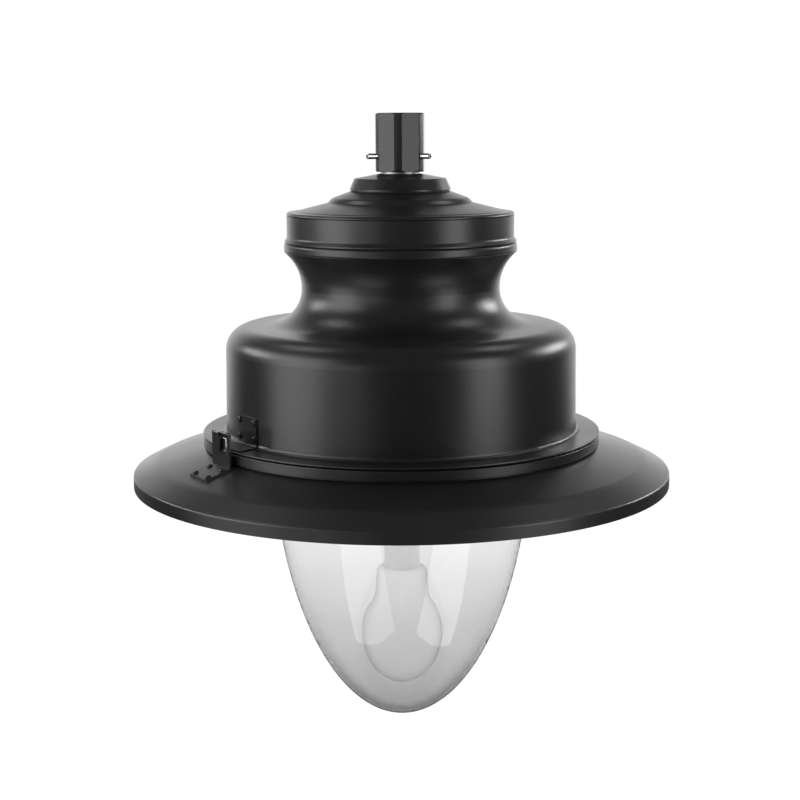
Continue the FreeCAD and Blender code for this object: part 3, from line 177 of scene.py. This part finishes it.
def shaded(shade, factor):
    return [min(1.0, value * factor) for value in shade]


# Materials: noise scales are in cycles per metre, and a glow is painted light, standing for light scattered
# in the pale pieces inside the bowl

def powder_coat(name, shade, roughness, specular):
    """Satin powder coat: a fine orange-peel grain and slow drifts in shade and gloss."""
    finish = Finish(name)
    grain = finish.noise(scale=780, detail=2.0, roughness=0.6)
    peel = finish.noise(scale=240, detail=2.0)
    drift = finish.noise(scale=9)
    colour = finish.colours(drift, [(0.3, shaded(shade, 0.82)), (0.7, shaded(shade, 1.22))])
    gloss = finish.spread(drift, roughness - 0.025, roughness + 0.03)
    relief = finish.bump(grain, distance=0.12 * MM, strength=0.7)
    relief = finish.bump(peel, distance=0.06 * MM, strength=0.5, under=relief)
    return finish.done(colour, gloss, relief, Specular_IOR_Level=specular)


def metal(name, shade, roughness, stretch, metallic=1.0, glow=0.0):
    """Bare or plated metal with fine drawn or turned lines and slight staining."""
    finish = Finish(name)
    lines = finish.noise(scale=600, roughness=0.6, stretch=stretch)
    stain = finish.noise(scale=40, detail=4.0, roughness=0.6)
    colour = finish.colours(stain, [(0.32, shaded(shade, 0.88)), (0.62, shade)])
    gloss = finish.spread(lines, roughness - 0.06, roughness + 0.08)
    relief = finish.bump(lines, distance=0.02 * MM, strength=0.5)
    return finish.done(colour, gloss, relief, glow, Metallic=metallic)


def moulding(name, shade, roughness, grain_scale, grain_depth, specular=0.5, glow=0.0):
    """Moulded, glazed or lacquered surface with a fine grain."""
    finish = Finish(name)
    grain = finish.noise(scale=grain_scale, roughness=0.55)
    drift = finish.noise(scale=25)
    colour = finish.colours(drift, [(0.3, shaded(shade, 0.86)), (0.7, shaded(shade, 1.06))])
    gloss = finish.spread(grain, roughness - 0.04, roughness + 0.05)
    relief = finish.bump(grain, grain_depth, strength=0.5)
    return finish.done(colour, gloss, relief, glow, Specular_IOR_Level=specular)


# Painted shade: the bowl's tints darken down its wall, where positions run from 0 at the mouth to 1 at the tip
BOWL_PAINTED_SHADE_TINTS = [(0.34, (0.930, 0.931, 0.931)), (0.48, (0.865, 0.866, 0.867)), (0.58, (0.780, 0.781, 0.783)),
              (0.80, (0.705, 0.706, 0.709)), (0.96, (0.560, 0.561, 0.564))]
# Painted shade: a dark rim along the bowl's outline near its tip, which also dims its gloss there
BOWL_PAINTED_RIM_DROP = (0.62, 0.92)
BOWL_PAINTED_RIM_FACING = (0.42, 0.92)
BOWL_PAINTED_RIM_SHADE = 0.03
BOWL_PAINTED_RIM_SPECULAR = 0.12
GATE_MARK_RADII = (1.2 * MM, 2.0 * MM)
GATE_MARK_SHADE = 0.02


def clear_shell(name, painted_shade_tints, roughness, ior, ripple_depth):
    """Clear moulded plastic with a gate mark at its tip, darkened towards the tip by painted shade, which also
    darkens its outline and dims its gloss there.
    """
    finish = Finish(name)
    ripple = finish.noise(scale=14, detail=2.0, roughness=0.4)
    haze = finish.noise(scale=60)
    corners = [Vector(corner) for corner in nodes["bowl"].bound_box]
    middle = sum(corners, Vector()) / len(corners)
    low, high = (reach(corner.z for corner in corners) for reach in (min, max))
    drop = finish.spread(finish.axes(finish.where)["Z"], 0.0, 1.0, high, low)
    near_tip = finish.spread(drop, 0.0, 1.0, *BOWL_PAINTED_RIM_DROP)
    # Painted shade along the outline near the tip
    painted_rim = finish.calculate("MULTIPLY", finish.rim(*BOWL_PAINTED_RIM_FACING, smooth=True), near_tip)
    to_tip = finish.add("ShaderNodeVectorMath", operation="DISTANCE")
    finish.join(finish.where, to_tip.inputs[0])
    to_tip.inputs[1].default_value = (middle.x, middle.y, low)
    gate_mark = finish.spread(to_tip.outputs["Value"], 1.0, 0.0, *GATE_MARK_RADII)
    # Painted shade: the wall's tint darkens towards the tip, and the painted dark rim darkens its outline there
    wall = finish.blend(painted_rim, finish.colours(drop, painted_shade_tints), BOWL_PAINTED_RIM_SHADE)
    colour = finish.blend(gate_mark, wall, GATE_MARK_SHADE)
    finish.join(finish.blend(painted_rim, 1.0, BOWL_PAINTED_RIM_SPECULAR), finish.shader.inputs["Specular Tint"])
    gloss = finish.spread(haze, roughness * 0.6, roughness * 1.5)
    relief = finish.bump(ripple, ripple_depth, strength=0.4)
    return finish.done(colour, gloss, relief, IOR=ior, Transmission_Weight=1.0)


# Painted shade: the lamp glass and arc tube grey towards their outline
LAMP_PAINTED_RIM_FACING = (0.35, 1.0)
LAMP_PAINTED_RIM_SHADE = 0.70


def opal_glass(name, shade, roughness, clear, ior, glow):
    """Soft white lamp glass or translucent ceramic, faintly uneven, with painted shade greying it towards its
    outline.
    """
    finish = Finish(name)
    coat = finish.noise(scale=35)
    coated = finish.colours(coat, [(0.3, shaded(shade, 0.97)), (0.7, shade)])
    colour = finish.blend(finish.rim(*LAMP_PAINTED_RIM_FACING), coated, LAMP_PAINTED_RIM_SHADE)
    gloss = finish.spread(coat, roughness - 0.03, roughness + 0.05)
    relief = finish.bump(coat, distance=0.02 * MM, strength=0.3)
    return finish.done(colour, gloss, relief, glow, IOR=ior, Transmission_Weight=clear)


def laminations(name, shade):
    """Lacquered steel sheets stacked along X."""
    finish = Finish(name)
    sheets = finish.add("ShaderNodeTexWave", wave_type="BANDS", bands_direction="X")
    sheets.inputs["Scale"].default_value = 300
    sheets.inputs["Distortion"].default_value = 0.4
    finish.join(finish.where, sheets.inputs["Vector"])
    colour = finish.colours(sheets.outputs["Fac"], [(0.25, shaded(shade, 0.55)), (0.6, shade)])
    gloss = finish.spread(finish.noise(scale=120), 0.3, 0.5)
    relief = finish.bump(sheets.outputs["Fac"], distance=0.1 * MM, strength=0.6)
    return finish.done(colour, gloss, relief, Specular_IOR_Level=0.5)


finishes = {
    "powder_black": powder_coat("satin black powder coat", (0.0060, 0.0060, 0.0062),
                                roughness=0.33, specular=0.50),
    "rivet_black": powder_coat("black rivet paint", (0.006, 0.006, 0.006), roughness=0.32, specular=0.50),
    "coupler_dark": powder_coat("dark grey coupler coat", (0.012, 0.012, 0.0125), roughness=0.30, specular=0.42),
    "plated_steel": metal("bright zinc plate", (0.62, 0.62, 0.61), roughness=0.27, stretch=(1, 1, 6)),
    "washer_grey": metal("grey washer", (0.42, 0.42, 0.42), roughness=0.42, stretch=(1, 1, 1)),
    "seal_rubber": moulding("seal rubber", (0.016, 0.016, 0.016), roughness=0.62,
                            grain_scale=900, grain_depth=0.04 * MM, specular=0.35),
    "bowl_clear": clear_shell("clear bowl", BOWL_PAINTED_SHADE_TINTS, roughness=0.012, ior=1.49, ripple_depth=0.03 * MM),
    # The glows of the lamp glass, arc tube, lamp cap and porcelain are painted light
    "lamp_glass": opal_glass("soft lamp glass", (0.94, 0.94, 0.935),
                             roughness=0.50, clear=0.90, ior=1.03, glow=0.06),
    "arc_ceramic": opal_glass("arc tube ceramic", (0.97, 0.965, 0.95),
                              roughness=0.35, clear=0.92, ior=1.03, glow=0.06),
    "lamp_brass": metal("plated lamp cap", (0.66, 0.66, 0.65),
                        roughness=0.45, stretch=(1, 1, 4), metallic=0.4, glow=0.28),
    "porcelain": moulding("glazed porcelain", (0.70, 0.70, 0.685), roughness=0.18,
                          grain_scale=400, grain_depth=0.03 * MM, glow=0.28),
    "reflector_bright": metal("satin reflector", (0.74, 0.74, 0.75), roughness=0.30, stretch=(1, 1, 5)),
    "ballast_lacquer": laminations("lacquered laminations", (0.06, 0.055, 0.05)),
    "can_aluminium": metal("drawn aluminium", (0.68, 0.68, 0.69), roughness=0.26, stretch=(1, 1, 8)),
    "moulded_grey": moulding("moulded grey plastic", (0.42, 0.42, 0.41), roughness=0.48,
                             grain_scale=700, grain_depth=0.04 * MM, specular=0.45),
}
slot_of = {entry["node"]: entry["material_slot"] for entry in frame["record"]["subparts"]}
for node_name, node in nodes.items():
    material = finishes[slot_of[node_name]]
    if node.material_slots:
        for holder in node.material_slots:
            holder.material = material
    else:
        node.data.materials.append(material)


# Catch spring: a copy of the CAD coil, carried by the head body in place of the CAD one


def direction(azimuth, elevation=0.0):
    """A unit vector; azimuth is in degrees from the front towards +X."""
    angle = math.radians(azimuth - 90)
    rise = math.radians(elevation)
    return Vector((math.cos(angle) * math.cos(rise), math.sin(angle) * math.cos(rise), math.sin(rise)))


def shortening_spring():
    spring = bpy.data.objects.new("wound_catch_spring", nodes["catch_spring"].data.copy())
    bpy.context.scene.collection.objects.link(spring)
    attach(spring, "head")
    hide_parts("catch_spring")
    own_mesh(spring)


shortening_spring()


# Stage

BACKDROP_GLOSS = 1.5
BACKDROP_LEVELS = [(0.15, 1.0), (0.35, 0.65), (0.43, 0.60), (0.53, 0.04)]  # by height
CEILING_GAIN = 3.0


def white_world(ambient, front_gloss):
    """White for the camera and through glass; for gloss, white at the back and dim in front, as in a studio."""
    world = bpy.data.worlds.new("studio")
    bpy.context.scene.world = world
    world.use_nodes = True
    world.node_tree.nodes.clear()
    wiring = Wiring(world.node_tree)
    way = wiring.axes(wiring.add("ShaderNodeTexCoord").outputs["Generated"])
    backdrop = wiring.spread(way["Y"], 0.0, BACKDROP_GLOSS, first=0.60, last=0.92)
    height_level = wiring.colours(way["Z"], [(height, (level,) * 3) for height, level in BACKDROP_LEVELS])
    ceiling = wiring.spread(way["Z"], front_gloss, front_gloss * CEILING_GAIN, first=-0.15, last=0.25)
    gloss = wiring.calculate("MULTIPLY_ADD", backdrop, height_level, ceiling)
    plain = wiring.spread(wiring.seen_directly(), ambient, 1.0, first=0.0, last=1.0)
    mirrored = wiring.calculate("SUBTRACT", wiring.ray("Glossy"), wiring.ray("Transmission"), clamp=True)
    mix = wiring.add("ShaderNodeMix")
    wiring.join(mirrored, mix.inputs["Factor"])
    wiring.join(plain, mix.inputs["A"])
    wiring.join(gloss, mix.inputs["B"])
    background = wiring.add("ShaderNodeBackground")
    background.inputs["Color"].default_value = WHITE
    wiring.join(mix.outputs["Result"], background.inputs["Strength"])
    wiring.join(background.outputs[0], wiring.add("ShaderNodeOutputWorld").inputs["Surface"])


def pale_floor(height, half_width, front, shade, glow):
    """A matt floor that glows white for the camera and through glass, and stays dim in the black paint's gloss."""
    mesh = bpy.data.meshes.new("floor")
    corners = [(-half_width, front, height), (half_width, front, height),
               (half_width, half_width, height), (-half_width, half_width, height)]
    mesh.from_pydata(corners, [], [(0, 1, 2, 3)])
    floor = bpy.data.objects.new("floor", mesh)
    bpy.context.scene.collection.objects.link(floor)
    material = bpy.data.materials.new("pale floor")
    material.use_nodes = True
    wiring = Wiring(material.node_tree)
    shader = wiring.nodes["Principled BSDF"]
    shader.inputs["Base Color"].default_value = (shade, shade, shade, 1)
    shader.inputs["Roughness"].default_value = 0.9
    shader.inputs["Specular IOR Level"].default_value = 0.0
    shader.inputs["Emission Color"].default_value = WHITE
    wiring.join(wiring.calculate("MULTIPLY", wiring.seen_directly(), glow), shader.inputs["Emission Strength"])
    mesh.materials.append(material)


# Sizes in metres, angles in degrees, radiance in W per square metre and steradian
SOFTBOXES = [
    {"name": "left low softbox", "azimuth": -67, "elevation": 9, "distance": 1.8,
     "width": 1.2, "height": 1.5, "radiance": 3.6},
    {"name": "left fill softbox", "azimuth": -33, "elevation": 3, "distance": 1.8,
     "width": 0.7, "height": 0.8, "radiance": 1.1},
    {"name": "left high softbox", "azimuth": -104, "elevation": 16, "distance": 1.9,
     "width": 0.9, "height": 0.4, "radiance": 7.5},
    {"name": "right low softbox", "azimuth": 54, "elevation": 9, "distance": 1.9,
     "width": 0.8, "height": 1.5, "radiance": 3.6},
    {"name": "right high softbox", "azimuth": 118, "elevation": 16, "distance": 1.9,
     "width": 0.8, "height": 0.4, "radiance": 12.0},
    {"name": "left bowl softbox", "azimuth": -38, "elevation": -42, "distance": 1.3,
     "width": 0.75, "height": 0.9, "radiance": 2.1},
    {"name": "right bowl softbox", "azimuth": 46, "elevation": -42, "distance": 1.3,
     "width": 0.70, "height": 0.9, "radiance": 2.5},
    {"name": "left roof softbox", "azimuth": -108, "elevation": 54, "distance": 1.8,
     "width": 0.55, "height": 0.42, "radiance": 4.0},
    {"name": "right roof softbox", "azimuth": 108, "elevation": 54, "distance": 1.8,
     "width": 0.55, "height": 0.42, "radiance": 3.8},
]
LIT_POINT = Vector((0, 0, -0.25))


def softbox(name, azimuth, elevation, distance, width, height, radiance):
    """A soft light aimed at the object, unseen by the camera and through glass."""
    data = bpy.data.lights.new(name, "AREA")
    data.shape = "RECTANGLE"
    data.size = width
    data.size_y = height
    data.energy = radiance * math.pi * width * height
    light = bpy.data.objects.new(name, data)
    bpy.context.scene.collection.objects.link(light)
    way = direction(azimuth, elevation)
    light.location = LIT_POINT + way * distance
    light.rotation_euler = way.to_track_quat("Z", "Y").to_euler()
    light.visible_camera = False
    light.visible_transmission = False


# Solved on the photograph's silhouettes
CAMERA_PLACE = (-0.00127, -1.656, -0.0230)
CAMERA_PITCH = -9.77
CAMERA_ROLL = -0.26
LENS = 69.26
SENSOR_WIDTH = 36.0


def add_camera():
    data = bpy.data.cameras.new("camera")
    data.sensor_width = SENSOR_WIDTH
    data.lens = LENS
    camera = bpy.data.objects.new("camera", data)
    bpy.context.scene.collection.objects.link(camera)
    pitch = Matrix.Rotation(math.radians(90 + CAMERA_PITCH), 4, "X")
    roll = Matrix.Rotation(math.radians(CAMERA_ROLL), 4, "Z")
    camera.matrix_world = Matrix.Translation(CAMERA_PLACE) @ pitch @ roll
    bpy.context.scene.camera = camera


white_world(ambient=0.5, front_gloss=0.05)
pale_floor(height=-1.45, half_width=5.0, front=-1.2, shade=0.18, glow=0.95)
for settings in SOFTBOXES:
    softbox(**settings)
add_camera()
bpy.context.scene.view_settings.view_transform = "Standard"
